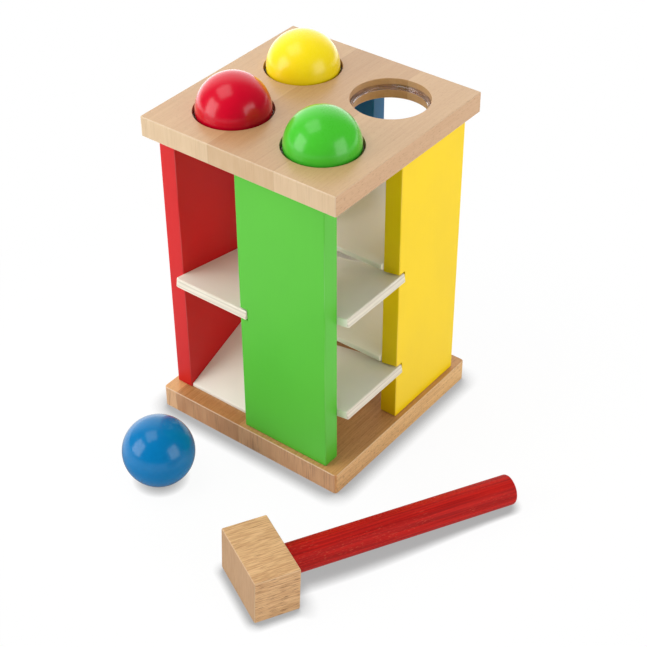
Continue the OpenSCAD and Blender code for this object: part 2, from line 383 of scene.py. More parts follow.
bm = bmesh.new()
bmesh.ops.create_grid(bm, x_segments=1, y_segments=1, size=FLOOR_SIZE)
bmesh.ops.translate(bm, vec=(0, 0, -FLOOR_DROP), verts=bm.verts)
floor = shown("floor", as_mesh("floor", bm))
floor.data.materials.append(sweep.material)
print("floor", FLOOR_SIZE * 2, "m across")

# %% [markdown]
# ## Beech
# Both plates and the hammer's head are beech, and the plates are thinly lacquered.
# A plate is glued up from staves, and each stave was cut from its own place in a tree.
# A flat pattern could be wrapped round a board, but its grain would break at every edge.
# Here the wood is worked out in the round, as rings about a pith that lies below each stave,
# so the top shows long grain and the sides show end grain without any unwrapping.

# %% Staves and rings
EDGE_REACH, EDGE_SKIN = 0.7, 0.1
GLUE_LINE = (0.1, 0.4)
PITH_BELOW, PITH_ASIDE = 40, 0.3
RING_GAP, RING_WANDER, WANDER_SIZE = 3.1, 12, (130, 26, 26)
LATE_RISE, LATE_FALL = (0.3, 1.0), (0.95, 1.0)


def at_edge(finish, axes, half):
    """How near a spot is to an outer face in each direction, and 1 where two faces meet."""
    near = [finish.ramp(axis.size(), size - EDGE_REACH, size - EDGE_SKIN) for axis, size in zip(axes, half)]
    x, y, z = near
    return near, x * y + y * z + x * z


def staves(wood, across, joints, tones):
    """The number of the stave that a spot lies in, that stave's tone, and 1 on the glue lines."""
    stave, tone, seam = 0, tones[0], 0
    for joint, before, after in zip(joints, tones, tones[1:]):
        past = across.above(joint)
        stave = stave + past
        tone = tone + past * (after - before)
        seam = seam + (1 - wood.ramp((across - joint).size(), *GLUE_LINE))
    return stave, tone, seam


def year_rings(wood, spot, across, deep, half_width):
    """The dark late wood of every year's ring."""
    wander = wood.noise(spot, WANDER_SIZE, 2.0)
    off_pith = across - half_width * PITH_ASIDE
    below = deep + PITH_BELOW
    ring = ((off_pith * off_pith + below * below) ** 0.5 + wander * RING_WANDER) / RING_GAP
    return wood.ramp(ring.part(), *LATE_RISE) * (1 - wood.ramp(ring.part(), *LATE_FALL))


print("rings", RING_GAP, "mm apart")

# %% [markdown]
# Beech is known by its rays: short dark dashes on the face, upright streaks on the end grain.
# End grain and planed sides have their own colour, and it also paints in how light and sheen fall there.
# Sanded edges are paler, and that pale edge also paints in the highlight that a rounded edge catches.
# The lacquer on a plate's flat faces is the shader's coat, as it is a clear layer.

# %% Beech
STAVE_AWAY = (370, 90, 41)
FIBRE_DEPTH, FIBRE_CUT = 10, (0.3, 0.7)
BAND_SIZE = (260, 6, 30)
DASH_WIDTH, DASH_CUT = 0.5, (0.57, 0.68)
RAY_SIZE, RAY_PATCH, RAY_CUT = (300, 0.8, 18), (300, 16, 60), (0.52, 0.70)
SANDED_AND_HIGHLIT_BEECH = seen(246, 226, 196)
WOOD_RELIEF = 0.04 * mm
LACQUER_BLUR, LACQUER_IOR = 0.25, 1.6


def beech(name, lie, half, pale, dark, end_shade, side_shade=(1, 1, 1), tones=(0.1,), joints=(),
          grain=0.3, fleck=0.3, streak=0.3, worn=0.3, fine=1.1, run=30, dash=3.4, rings=0.5,
          rough=0.45, veil=0.0):
    """Beech in a frame in the middle of the wood, whose X runs along the grain.

    Staves of these tones meet at the joints. Veil is how much lacquer lies on the flat faces.
    """
    wood = Finish(name)
    spot = wood.place(lie)
    axes = wood.axes(spot)
    _, across, deep = axes
    (end, side, flat), arris = at_edge(wood, axes, half)
    stave, tone, seam = staves(wood, across, joints, tones)
    steps = {axis: stave * step for axis, step in zip("XYZ", STAVE_AWAY)}
    away = wood.node("ShaderNodeCombineXYZ", None, steps)
    spot = wood.node("ShaderNodeVectorMath", {"operation": "ADD"}, {0: spot, 1: away})

    late = year_rings(wood, spot, across, deep, half[1]) * (1 - end)
    lines = wood.noise(spot, (run, fine, FIBRE_DEPTH), 3.0)
    side_lines = wood.noise(spot, (run, FIBRE_DEPTH, fine), 3.0)
    fibre = wood.ramp(lines + (side_lines - lines) * side, *FIBRE_CUT)
    bands = wood.noise(spot, BAND_SIZE, 2.0)
    dashes = wood.ramp(wood.noise(spot, (dash, DASH_WIDTH, DASH_WIDTH), 1.5), *DASH_CUT)
    dashes = dashes * (1 - end) * (0.5 + side * 0.5)
    ray_lines = wood.noise(spot, RAY_SIZE, 2.0)
    patch = wood.noise(spot, RAY_PATCH, 1.0)
    upright_lines = wood.ramp(ray_lines + (patch - 0.5) * 0.5, *RAY_CUT) * end

    long_grain = (late * rings + fibre - 0.5) * (1 - end * 0.7) * grain
    depth = tone + long_grain + (bands - 0.5) * (0.3 + end * streak) + 0.2
    colour = wood.mix(depth, pale, dark)
    colour = wood.mix(dashes * fleck, colour, shade(dark, 0.5))
    colour = wood.mix(upright_lines * streak, colour, shade(dark, 0.5))
    if joints:
        colour = wood.mix(seam * 0.2, colour, shade(dark, 0.6))
    # End and side faces get their own colour: the grain's, plus painted light and sheen on those faces.
    colour = wood.mix(end, colour, end_shade, "MULTIPLY")
    colour = wood.mix(side, colour, side_shade, "MULTIPLY")
    # Paler where faces meet: sanding, plus a painted highlight along the rounded edges.
    colour = wood.mix(arris * worn, colour, SANDED_AND_HIGHLIT_BEECH)
    height = 0.6 - dashes * 0.4 + (fibre - 0.5) * 0.4
    roughness = rough + dashes * 0.12 + (fibre - 0.5) * 0.06
    return wood.set(Base_Color=colour, Roughness=roughness, Normal=wood.bump(height, WOOD_RELIEF),
                    Specular_IOR_Level=0.3, Coat_Weight=flat * veil if veil else 0,
                    Coat_Roughness=LACQUER_BLUR, Coat_IOR=LACQUER_IOR)


print("worn beech:", [round(part, 2) for part in SANDED_AND_HIGHLIT_BEECH])

# %% [markdown]
# The two plates come from different boards. The top is pale, even wood under a good lacquer.
# The base is browner, with more grain and less lacquer.
# A finish needs a frame that lies in its wood, so each plate's frame is turned along its staves.

# %% The plates' beech
def turned_to(x_along, place=(0, 0, 0)):
    """A frame whose X axis points along the given axis of the object."""
    turns = {"X": Euler((0, 0, 0)), "Y": Euler((0, 0, math.pi / 2)), "Z": Euler((0, -math.pi / 2, 0))}
    return Matrix.Translation(place) @ turns[x_along].to_matrix().to_4x4()


def half_size(node):
    """Half the size of a CAD node, in millimetres."""
    low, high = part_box(node)
    return (high - low) / 2 / mm


def plate_beech(name, node, *look, **more):
    half = half_size(node)
    return beech(name, turned_to("Y", middle(node)), (half.y, half.x, half.z), *look, **more)


# The end and side shades below also paint in the light and sheen that those faces show.
top_beech = plate_beech(
    "beech_top", "top_plate", seen(207, 169, 123), seen(168, 119, 70),
    end_shade=(1.09, 1.30, 1.68), side_shade=(1.0, 1.01, 1.18), tones=(0.05, 0.28, 0.0),
    joints=(-29.5, 20.5), grain=0.09, fleck=0.3, streak=0.1, worn=0.22, veil=0.75)
base_beech = plate_beech(
    "beech_base", "base_plate", seen(216, 164, 104), seen(168, 110, 60),
    end_shade=(0.90, 0.98, 1.38), side_shade=(1.18, 1.37, 1.52), tones=(0.15, 0.45, -0.3),
    joints=(8, 63), grain=0.3, fleck=0.6, streak=0.4, worn=0.45, veil=0.3)
print("beech:", top_beech.material.name, base_beech.material.name)

# %% [markdown]
# ## Paint
# The panels and ramps are sprayed with a satin paint that fills the grain but doesn't hide it quite.
# The balls carry a thicker gloss coat. One flat colour would look like plastic, so all of them are
# one finish with other numbers: a colour that clouds a little, a faint orange peel,
# and the wood's grain just felt below it.

# %% Paint
CLOUD_SIZE, SKIN_SIZE, FIBRE_SIZE = (60, 35, 35), (1.5, 1.5, 1.5), (50, 0.9, 0.9)
MOTTLE_CUT, DARKER, LIGHTER = (0.3, 0.7), 0.975, 1.02
RUBBED_AND_HIGHLIT, RUBBED_AND_HIGHLIT_CUT = 0.22, (0.3, 0.6)
GLOSS_IOR = 1.35


def paler(colour):
    return tuple(0.5 + part / 2 for part in colour)


def paint_coat(name, colour, lie, rough, peel=0.4, grain=0.25, relief=0.02, gloss=0.0, shine=0.5,
               blur=0.2, edge_tint=None, half=None):
    """A sprayed coat in a frame whose X runs along the grain of the wood below.

    Half is half the size of a board whose edges are paler, for wear and as a painted highlight.
    A tint, if given, changes the colour on the ramps' outer edges.
    """
    coat = Finish(name)
    spot = coat.place(lie)
    cloud = coat.noise(spot, CLOUD_SIZE, 2.0)
    skin = coat.noise(spot, SKIN_SIZE, 1.0)
    fibre = coat.noise(spot, FIBRE_SIZE, 2.0)
    mottle = coat.ramp(cloud * 0.8 + fibre * 0.2, *MOTTLE_CUT)
    base = coat.mix(mottle, shade(colour, DARKER), shade(colour, LIGHTER))
    if half:
        _, arris = at_edge(coat, coat.axes(spot), half)
        # Paler along the edges: rubbing, plus a painted highlight where the rounded edge catches light.
        base = coat.mix(arris * coat.ramp(cloud, *RUBBED_AND_HIGHLIT_CUT) * RUBBED_AND_HIGHLIT, base, paler(colour))
    if edge_tint:
        base = edge_tint(coat, base)
    height = skin * peel + fibre * grain
    roughness = rough + (cloud - 0.5) * 0.08 + (skin - 0.5) * 0.06
    return coat.set(Base_Color=base, Roughness=roughness, Normal=coat.bump(height, relief * mm),
                    Specular_IOR_Level=shine, Coat_Weight=gloss, Coat_Roughness=blur, Coat_IOR=GLOSS_IOR)


print("paint mottles from", DARKER, "to", LIGHTER)

# %% [markdown]
# The panels' paint knows the size of its panel, because its edges are a little paler: handling wear,
# plus a painted highlight along the rounded edges.
# The balls' paint differs from ball to ball in how smooth it flowed out.

# %% The toy's colours
SATIN = 0.40
WALLS = {
    "green": (seen(84, 186, 48), 0.3),
    "yellow": (seen(243, 207, 0), 0.2),
    "blue": (seen(0, 96, 150), 0.25),
    "red": (seen(204, 14, 16), 0.26),
}
upright = turned_to("Z")


def wall_paint(colour, tint, shine):
    """The paint of one panel, a little paler along its edges: wear, plus a painted highlight."""
    node = "panel_" + colour
    half = half_size(node)
    lie = turned_to("Z", middle(node))
    return paint_coat("paint_" + colour, tint, lie, SATIN, shine=shine, half=(half.z, half.y, half.x))


def gloss_paint(colour, tint, rough=0.28, peel=0.5, relief=0.010, gloss=1.0, shine=0.1, blur=0.2):
    """The thick gloss coat of one ball, which nearly fills the grain."""
    return paint_coat("gloss_" + colour, tint, upright, rough, peel, 0.1, relief, gloss, shine, blur)


wall_paints = {colour: wall_paint(colour, *look) for colour, look in WALLS.items()}
ball_gloss = {
    "green": gloss_paint("green", seen(70, 192, 46)),
    "yellow": gloss_paint("yellow", seen(255, 228, 22), blur=0.26),
    "red": gloss_paint("red", seen(208, 0, 38), rough=0.24, peel=1.0, relief=0.020),
    "blue": gloss_paint("blue", seen(0, 114, 174), rough=0.24, gloss=0.8, shine=0.08, blur=0.17),
}
print("paints:", len(wall_paints) + len(ball_gloss))

# %% [markdown]
# ## Shaping tools
# Every wooden piece here is a board, a turned shape, or one of these with holes in it.
# A board starts as a cube. A Bevel modifier could round the finished pieces,
# but edges that are eased before the holes are cut stay even right up to a hole.

# %% Boards
SHARP = math.radians(40)


def board(low, high):
    """A square-edged board between two corners."""
    bm = bmesh.new()
    bmesh.ops.create_cube(bm, size=1)
    low, high = Vector(low), Vector(high)
    bmesh.ops.scale(bm, vec=high - low, verts=bm.verts)
    bmesh.ops.translate(bm, vec=(low + high) / 2, verts=bm.verts)
    return bm


def edges_along(bm, axis):
    """The edges of a board that run along X, Y or Z, as 0, 1 or 2."""
    return [e for e in bm.edges if abs((e.verts[1].co - e.verts[0].co).normalized()[axis]) > 0.999]


def sharp_edges(bm):
    return [e for e in bm.edges if e.is_manifold and e.calc_face_angle() > SHARP]


def ease(bm, edges, radius, segments=4):
    """Rounds edges, as a router or sandpaper does."""
    bmesh.ops.bevel(bm, geom=edges, offset=radius, affect="EDGES", segments=segments, profile=0.5,
                    material=-1)
    return bm


def moved(bm, place):
    bmesh.ops.transform(bm, matrix=place, verts=bm.verts)
    return bm


def quarter(turn):
    return Matrix.Rotation(math.radians(90 * turn), 4, "Z")


print("edges over", round(math.degrees(SHARP)), "degrees are sharp")

# %% [markdown]
# A turned shape starts as an outline that is spun about an axis, as a lathe does.
# Its corners are rounded before the spin, which gives clean rings of faces.
# A spin can leave doubled points and turn a shape inside out, so both are put right.

# %% Turned shapes
LATHE_STEPS, ROUND_STEPS = 96, 5
MERGE = 1e-7


def spun(bm, steps):
    """An outline spun all the way round the Z axis, closed and facing outwards."""
    bmesh.ops.spin(bm, geom=bm.verts[:] + bm.edges[:], cent=(0, 0, 0), axis=(0, 0, 1), angle=2 * math.pi,
                   steps=steps, use_merge=True)
    bmesh.ops.remove_doubles(bm, verts=bm.verts, dist=MERGE)
    bmesh.ops.recalc_face_normals(bm, faces=bm.faces)
    return bm


def turned(outline, steps=LATHE_STEPS, ring=False):
    """Spins an outline of (radius, height, rounding) corners about the Z axis."""
    bm = bmesh.new()
    corners = [bm.verts.new((radius, 0, height)) for radius, height, _ in outline]
    for pair in zip(corners, corners[1:] + corners[:1] if ring else corners[1:]):
        bm.edges.new(pair)
    for corner, (_, _, rounding) in zip(corners, outline):
        if rounding:
            bmesh.ops.bevel(bm, geom=[corner], offset=rounding, affect="VERTICES", segments=ROUND_STEPS,
                            profile=0.5, material=-1)
    return spun(bm, steps)


print("a lathe turns in", LATHE_STEPS, "steps")

# %% [markdown]
# Holes are cut by shapes made in the same two ways, all of a piece's cutters in one Boolean.
# A finished piece rides on its body and stands for the CAD node that it replaces.
# Weighted normals keep the flat faces flat beside their rounded edges.

# %% Cuts and pieces
CREASE = math.radians(35)


def joined(shapes):
    """Several shapes as one, with nothing merged."""
    whole = bmesh.new()
    for shape in shapes:
        mesh = as_mesh("part", shape)
        whole.from_mesh(mesh)
        bpy.data.meshes.remove(mesh)
    return whole


def carved(bm, cutters):
    """The shape with the space of the cutters taken out."""
    work = shown("work", as_mesh("work", bm))
    cutter = shown("cutter", as_mesh("cutter", joined(cutters)))
    cut = work.modifiers.new("cut", "BOOLEAN")
    cut.operation = "DIFFERENCE"
    cut.solver = "EXACT"
    cut.object = cutter
    result = bmesh.new()
    result.from_object(work, bpy.context.evaluated_depsgraph_get())
    for used in (work, cutter):
        # An object goes with its mesh.
        bpy.data.meshes.remove(used.data)
    return result


def piece(name, bm, body, slot, finish, *nodes):
    """Makes the mesh an object that rides on a body and stands for these CAD nodes."""
    mesh = as_mesh(name, bm)
    mesh.materials.append(finish.material)
    mesh.shade_smooth()
    mesh.set_sharp_from_angle(angle=CREASE)
    made = shown(name, mesh)
    flat = made.modifiers.new("flat faces", "WEIGHTED_NORMAL")
    flat.keep_sharp = True
    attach(made, body)
    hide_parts(*nodes)
    print(name, len(mesh.polygons), "faces")


print("edges under", round(math.degrees(CREASE)), "degrees are shaded smooth")

# %% [markdown]
# ## Base and top plates
# The base is a thick square board with eased edges. Eight screws come up through it into the panels,
# each in a countersunk hole, so the underside shows eight steel heads.
# Each hole could be drilled in two goes, but one outline with the head's cone cuts it at once.

# %% Base plate
BASE_CORNER, TOP_CORNER = 2.6 * mm, 1 * mm
CORNER_STEPS = 8
PLATE_EDGE = 0.6 * mm
FIXING_X = (7.75 * mm, 51.75 * mm)
FIXING_LINE = -64.75 * mm
FIXING_STEPS = 32
FIT = 0.1 * mm
PAST = 2 * mm
SCREW_R, SCREW_HEAD_R, SCREW_SINK, SCREW_LENGTH = 2 * mm, 4 * mm, 1 * mm, 36 * mm
ALL_SIDES = range(4)
base_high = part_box("base_plate")[1]


def plate(node, corner):
    bm = board(*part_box(node))
    ease(bm, edges_along(bm, 2), corner, CORNER_STEPS)
    return ease(bm, sharp_edges(bm), PLATE_EDGE)


def at_fixings(shape, sides):
    """A copy of a turned shape at both fixings of each panel."""
    return [moved(turned(shape, FIXING_STEPS), quarter(side) @ Matrix.Translation((x, FIXING_LINE, 0)))
            for side in sides for x in FIXING_X]


screw_hole = [
    (0, -PAST, 0), (SCREW_HEAD_R + FIT, -PAST, 0), (SCREW_HEAD_R + FIT, SCREW_SINK, 0),
    (SCREW_R + FIT, SCREW_SINK + SCREW_HEAD_R - SCREW_R, 0), (SCREW_R + FIT, SCREW_LENGTH - SCREW_R, 0),
    (0, SCREW_SINK + SCREW_LENGTH + FIT, 0),
]
base = carved(plate("base_plate", BASE_CORNER), at_fixings(screw_hole, ALL_SIDES))
piece("base_board", base, "tower", "beech_base", base_beech, "base_plate")

# %% [markdown]
# The top has four ball holes. A hole could be drilled first and its rims bevelled after,
# but one turned cutter does it all: it rounds the rims, and halfway down it is wider,
# which leaves the groove that the retaining ring snaps into.
# A ledge of the cutter just outside the plate's face, with a rounded inner corner, makes a rim.

# %% Top plate
DOWEL_R, DOWEL_IN_TOP, DOWEL_IN_PANEL = 3 * mm, 9 * mm, 15 * mm
HOLE_R, HOLE_STEPS = 25.3 * mm, 128
RIM, LEDGE = 0.4 * mm, 0.02 * mm
GROOVE_R = 27.1 * mm
top_low, top_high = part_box("top_plate")
ring_low, ring_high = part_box("ring_right")
hole_at = middle("ring_right")

under, over = top_low.z - LEDGE, top_high.z + LEDGE
ledge_r = HOLE_R + 2 * RIM
hole_cutter = [
    (0, under - PAST, 0), (ledge_r, under - PAST, 0), (ledge_r, under, 0), (HOLE_R, under, RIM),
    (HOLE_R, ring_low.z - FIT, 0), (GROOVE_R, ring_low.z - FIT, 0),
    (GROOVE_R, ring_high.z + FIT, 0), (HOLE_R, ring_high.z + FIT, 0),
    (HOLE_R, over, RIM), (ledge_r, over, 0), (ledge_r, over + PAST, 0), (0, over + PAST, 0),
]
hole_cutters = [moved(turned(hole_cutter, HOLE_STEPS), Matrix.Translation((x, y, 0)))
                for x in (-hole_at.x, hole_at.x) for y in (-hole_at.y, hole_at.y)]
dowel_hole = [
    (0, top_low.z - DOWEL_IN_PANEL - FIT, 0), (DOWEL_R + FIT, top_low.z - DOWEL_IN_PANEL - FIT, 0),
    (DOWEL_R + FIT, top_low.z + DOWEL_IN_TOP + FIT, 0), (0, top_low.z + DOWEL_IN_TOP + FIT, 0),
]
top = carved(plate("top_plate", TOP_CORNER), hole_cutters + at_fixings(dowel_hole, ALL_SIDES))
piece("top_board", top, "tower", "beech_top", top_beech, "top_plate")

# %% [markdown]
# ## Ramps
# A ramp is a slim board, painted white. Its outer edge is sawn, and there the colour is darker
# and beige, with two darker lines along it. Those edges could have a finish of their own, but they all
# lie equally far out from the tower's middle, so one finish finds them by place. The ramps rise in
# equal steps, so a spot's height within its step tells where the two lines lie.

# %% White paint
RAMP_OUT, RAMP_LOW, RAMP_STEP = 71.2 * mm, 58.3 * mm, 18.5 * mm
SAWN_FROM, SAWN_FULL, SAWN = 0.45, 0.1, 0.75
EDGE_LINE_HEIGHTS, EDGE_LINE_WIDTH = (1.8, 4.7), (0.2, 0.7)
EDGE_MOTTLE_SIZE, EDGE_MOTTLE_CUT = (26, 26, 0.9), (0.35, 0.65)


def darker_outer_edge(coat, colour):
    """The ramps' sawn outer edges, coloured darker and beige, with two darker lines along them."""
    x, y, z = coat.axes(coat.place())
    out, step = RAMP_OUT / mm, RAMP_STEP / mm
    sawn_face = coat.ramp(x.size().most(y.size()), out - SAWN_FROM, out - SAWN_FULL)
    below = (1 - ((z - RAMP_LOW / mm) / step).part()) * step
    edge_lines = sum(1 - coat.ramp((below - at).size(), *EDGE_LINE_WIDTH) for at in EDGE_LINE_HEIGHTS)
    edge_mottle = coat.noise(coat.place(), EDGE_MOTTLE_SIZE, 2.0)
    # Darker beige colour on the outer edge, with two darker lines along it.
    edge_colour = coat.mix(coat.ramp(edge_mottle, *EDGE_MOTTLE_CUT), seen(204, 194, 172), seen(222, 213, 194))
    edge_colour = coat.mix(edge_lines * 0.4, edge_colour, seen(150, 138, 112))
    return coat.mix(sawn_face * SAWN, colour, edge_colour)


ramp_white = paint_coat("paint_white", seen(247, 242, 228), turned_to("X"), SATIN, edge_tint=darker_outer_edge)
print("white:", ramp_white.material.name)

# %% [markdown]
# A ramp lies on a slope. Its edges are eased, its inner end is chamfered below,
# and the outer corner beside its panel is cut round, less so on the two front ones.
# All seven are one board, turned a quarter and raised one step at a time, which makes the spiral.
# Two hidden pins hold a ramp to the panel on its long side.

# %% Ramps
FACE_IN = 58.5 * mm
RAMP_LAP, RAMP_THICK, RAMP_SIDE = 6.5 * mm, 6.4 * mm, 1.4 * mm
RAMP_SLOPE = math.radians(10)
RAMP_CORNER_R, FRONT_CORNER_R, RAMP_EDGE = 2.5 * mm, 1 * mm, 0.8 * mm
UNDERCUT = 2.5 * mm
RAMP_LENGTH = (RAMP_OUT + RAMP_LAP) / math.cos(RAMP_SLOPE)
PIN_R, PIN_IN_PANEL, PIN_IN_RAMP, PIN_STEPS = 2 * mm, 6 * mm, 12 * mm, 24
RAMP_PINS = (-22 * mm, -54 * mm)
RAMPS = ["front_lower", "right_lower", "back_lower", "left", "front_upper", "right_upper", "back_upper"]

pin_hole = [(0, -PIN_IN_PANEL - FIT, 0), (PIN_R + FIT, -PIN_IN_PANEL - FIT, 0),
            (PIN_R + FIT, PIN_IN_RAMP + FIT, 0), (0, PIN_IN_RAMP + FIT, 0)]


def on_ramp(i):
    """Where ramp i lies: its outer top edge, seen as if it were in the front quarter."""
    return (Matrix.Translation((RAMP_OUT, 0, RAMP_LOW + i * RAMP_STEP))
            @ Matrix.Rotation(-RAMP_SLOPE, 4, "Y"))


def at_pins(place, along):
    """The pin holes of a board, level, from the inner face of its panel."""
    level = Matrix.Rotation(-math.pi / 2, 4, "X")
    return [moved(turned(pin_hole, PIN_STEPS),
                  place @ Matrix.Translation((u, -FACE_IN, -RAMP_THICK / 2)) @ level) for u in along]


def ramp_board(i):
    bm = board((-RAMP_LENGTH, -FACE_IN, -RAMP_THICK), (0, RAMP_SIDE, 0))
    inner_end = [e for e in edges_along(bm, 1) if e.verts[0].co.x < -mm and e.verts[0].co.z < -mm]
    ease(bm, inner_end, UNDERCUT, 1)
    corner = [e for e in edges_along(bm, 2) if e.verts[0].co.x > -mm and e.verts[0].co.y < -mm]
    ease(bm, corner, RAMP_CORNER_R if i % 4 else FRONT_CORNER_R, CORNER_STEPS)
    ease(bm, sharp_edges(bm), RAMP_EDGE)
    return moved(bm, quarter(i) @ on_ramp(i))


for i, name in enumerate(RAMPS):
    shape = carved(ramp_board(i), at_pins(quarter(i) @ on_ramp(i), RAMP_PINS))
    piece("white_ramp_" + name, shape, "tower", "paint_white", ramp_white, "ramp_" + name)

# %% [markdown]
# The last board is steeper and lies on the base, where it sends the ball out of the tower.
# It is sawn level where it meets the base and upright at the front.
# Two cuts by a plane do that, and each cut is closed with a new face.

# %% Exit ramp
EXIT_SLOPE = math.radians(22)
EXIT_LIP, EXIT_LAP, EXIT_FRONT, EXIT_WIDTH = 2.5 * mm, 6.5 * mm, 62.5 * mm, 50.5 * mm
EXIT_TOP = base_high.z + EXIT_LIP + (EXIT_FRONT + EXIT_LAP) * math.tan(EXIT_SLOPE)
EXIT_PINS = (28 * mm, 52 * mm)
EXIT_EDGE, EXIT_SHARP = 0.5 * mm, math.radians(15)
LEFT_TURN = 3

on_exit = (quarter(LEFT_TURN) @ Matrix.Translation((-EXIT_LAP, 0, EXIT_TOP))
           @ Matrix.Rotation(EXIT_SLOPE, 4, "Y"))


def sawn(bm, point, outward):
    """The shape sawn off at a plane, with the cut closed."""
    everything = bm.verts[:] + bm.edges[:] + bm.faces[:]
    cut = bmesh.ops.bisect_plane(bm, geom=everything, plane_co=point, plane_no=outward, clear_outer=True)
    bmesh.ops.edgeloop_fill(bm, edges=[e for e in cut["geom_cut"] if isinstance(e, bmesh.types.BMEdge)])
    return bm


def exit_board():
    length = 2 * EXIT_FRONT
    bm = moved(board((0, -FACE_IN, -RAMP_THICK), (length, EXIT_WIDTH - FACE_IN, 0)), on_exit)
    sawn(bm, (0, -EXIT_FRONT, 0), (0, -1, 0))
    sawn(bm, base_high, (0, 0, -1))
    bmesh.ops.recalc_face_normals(bm, faces=bm.faces)
    return ease(bm, [e for e in bm.edges if e.calc_face_angle() > EXIT_SHARP], EXIT_EDGE)


shape = carved(exit_board(), at_pins(on_exit, EXIT_PINS))
piece("white_exit_ramp", shape, "tower", "paint_white", ramp_white, "exit_ramp")

# %% [markdown]
# ## Panels
# Four equal boards stand in a pinwheel, so each leaves an opening beside it.
# A panel is drilled for two dowels at the top and two screws at the bottom.
# Its free end is slotted on the slope, where the ramps of the panel before it run in.
# Each could be built where it stands, but it is plainer to make all of them in the green one's place,
# each with the cuts of its own side, and then to turn them.

# %% Panels
PANEL_EDGE = 0.8 * mm
END_FREE = -4 * mm
SLOT_DEPTH, SLOT_GAP, SLOT_ABOVE, SLOT_REACH = 6 * mm, 0.5 * mm, 1.3 * mm, 20 * mm


def slot(i):
    """The slot that ramp i needs, in the frame of the panel that it runs into."""
    bm = board((-SLOT_REACH, END_FREE - PAST, -RAMP_THICK - SLOT_GAP),
               (SLOT_REACH, END_FREE + SLOT_DEPTH, SLOT_ABOVE))
    return moved(bm, quarter(-1) @ on_ramp(i))


def panel(side):
    bm = board(*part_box("panel_green"))
    ease(bm, bm.edges[:], PANEL_EDGE)
    cuts = at_fixings(dowel_hole, [0]) + at_fixings(screw_hole, [0])
    for i in range(len(RAMPS)):
        if i % 4 == side:
            cuts += at_pins(on_ramp(i), RAMP_PINS)
        if (i + 1) % 4 == side:
            cuts.append(slot(i))
    if side == LEFT_TURN:
        cuts += at_pins(quarter(-LEFT_TURN) @ on_exit, EXIT_PINS)
    return moved(carved(bm, cuts), quarter(side))


for side, (colour, coat) in enumerate(wall_paints.items()):
    piece(colour + "_wall", panel(side), "tower", "paint_" + colour, coat, "panel_" + colour)

# %% [markdown]
# ## Retaining rings
# A ring of clear, springy plastic sits in the groove of each hole. Its lip is a little narrower
# than a ball, so a ball rests on it until it is pounded through.
# A torus could stand in for it, but the real one has a flat wall and sloped lips, so an outline is spun
# as the plates' cutters are. It closes on itself instead of on the axis.

# %% Rings
RING_LIP_R, RING_WALL_R = 23.3 * mm, 27 * mm
RING_SLOPE, RING_ROUND = 1 * mm, 0.3 * mm
HAZE_SIZE = (6, 6, 6)

clear = Finish("clear_plastic")
haze = clear.noise(clear.place(), HAZE_SIZE, 2.0)
tint = clear.mix(haze, seen(222, 216, 226), seen(238, 234, 242))
clear.set(Base_Color=tint, Roughness=0.03 + haze * 0.06, IOR=1.1, Transmission_Weight=1.0,
          Coat_Weight=1.0, Coat_Roughness=0.06)


def ring(node):
    low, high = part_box(node)
    half = (high.z - low.z) / 2
    outline = [
        (RING_LIP_R, -half / 2, RING_ROUND), (RING_LIP_R + RING_SLOPE, -half, RING_ROUND),
        (RING_WALL_R, -half, RING_ROUND), (RING_WALL_R, half, RING_ROUND),
        (RING_LIP_R + RING_SLOPE, half, RING_ROUND), (RING_LIP_R, half / 2, RING_ROUND),
    ]
    return moved(turned(outline, HOLE_STEPS, ring=True), Matrix.Translation(middle(node)))


for place in ("front", "right", "back", "left"):
    piece("clear_ring_" + place, ring("ring_" + place), "tower", "ring_clear", clear, "ring_" + place)

# %% [markdown]
# ## Balls
# The balls were turned on a lathe, which leaves a small flat at both ends of the turning axis,
# and then dipped in gloss paint. A ready-made sphere has no such flats.
# So one point is spun into most of a half circle, and that into a ball with a flat at either end.
# Each ball lies with its turning axis another way.

# %% Balls
FLAT_R = 1.2 * mm
ARC_STEPS, BALL_STEPS = 60, 112
BALL_LIE = {"green": (80, 20, 38), "yellow": (75, -30, 30), "red": (95, 15, 45), "blue": (70, 0, 36)}


def ball(node, lie):
    low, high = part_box(node)
    radius = (high.z - low.z) / 2
    start = math.asin(FLAT_R / radius)
    bm = bmesh.new()
    point = bm.verts.new((radius * math.sin(start), 0, -radius * math.cos(start)))
    bmesh.ops.spin(bm, geom=[point], cent=(0, 0, 0), axis=(0, -1, 0), angle=math.pi - 2 * start,
                   steps=ARC_STEPS)
    lowest = min(bm.verts, key=lambda v: v.co.z)
    highest = max(bm.verts, key=lambda v: v.co.z)
    for end in (lowest, highest):
        bm.edges.new((end, bm.verts.new((0, 0, end.co.z))))
    turn = Euler([math.radians(a) for a in lie]).to_matrix().to_4x4()
    return moved(spun(bm, BALL_STEPS), Matrix.Translation(middle(node)) @ turn)


for colour, lie in BALL_LIE.items():
    node = "ball_" + colour
    piece(colour + "_ball", ball(node, lie), node, node, ball_gloss[colour], node)

# %% [markdown]
# ## Hammer
# The head is a beech block with a blind socket, and the round handle sits tight in it.
# The hammer lies on the floor, tipped a little until the end of its handle touches.
# Building it in that slant would be hard, so both pieces are made straight and then moved together.
# Their finishes are turned the same way, so that the grain runs along the handle in both.

# %% Where the hammer lies
HEAD_LENGTH, HEAD_WIDTH, HEAD_HEIGHT = 51 * mm, 30 * mm, 33 * mm
HANDLE_R, HANDLE_REACH, HANDLE_END_R = 10 * mm, 160 * mm, 2 * mm
HAMMER_AT = Vector((93.5, -153, 0)) * mm
HAMMER_TURN = math.radians(-27)
HAMMER_TIP = math.atan((HEAD_HEIGHT / 2 - HANDLE_R) / (HANDLE_REACH - HANDLE_END_R))

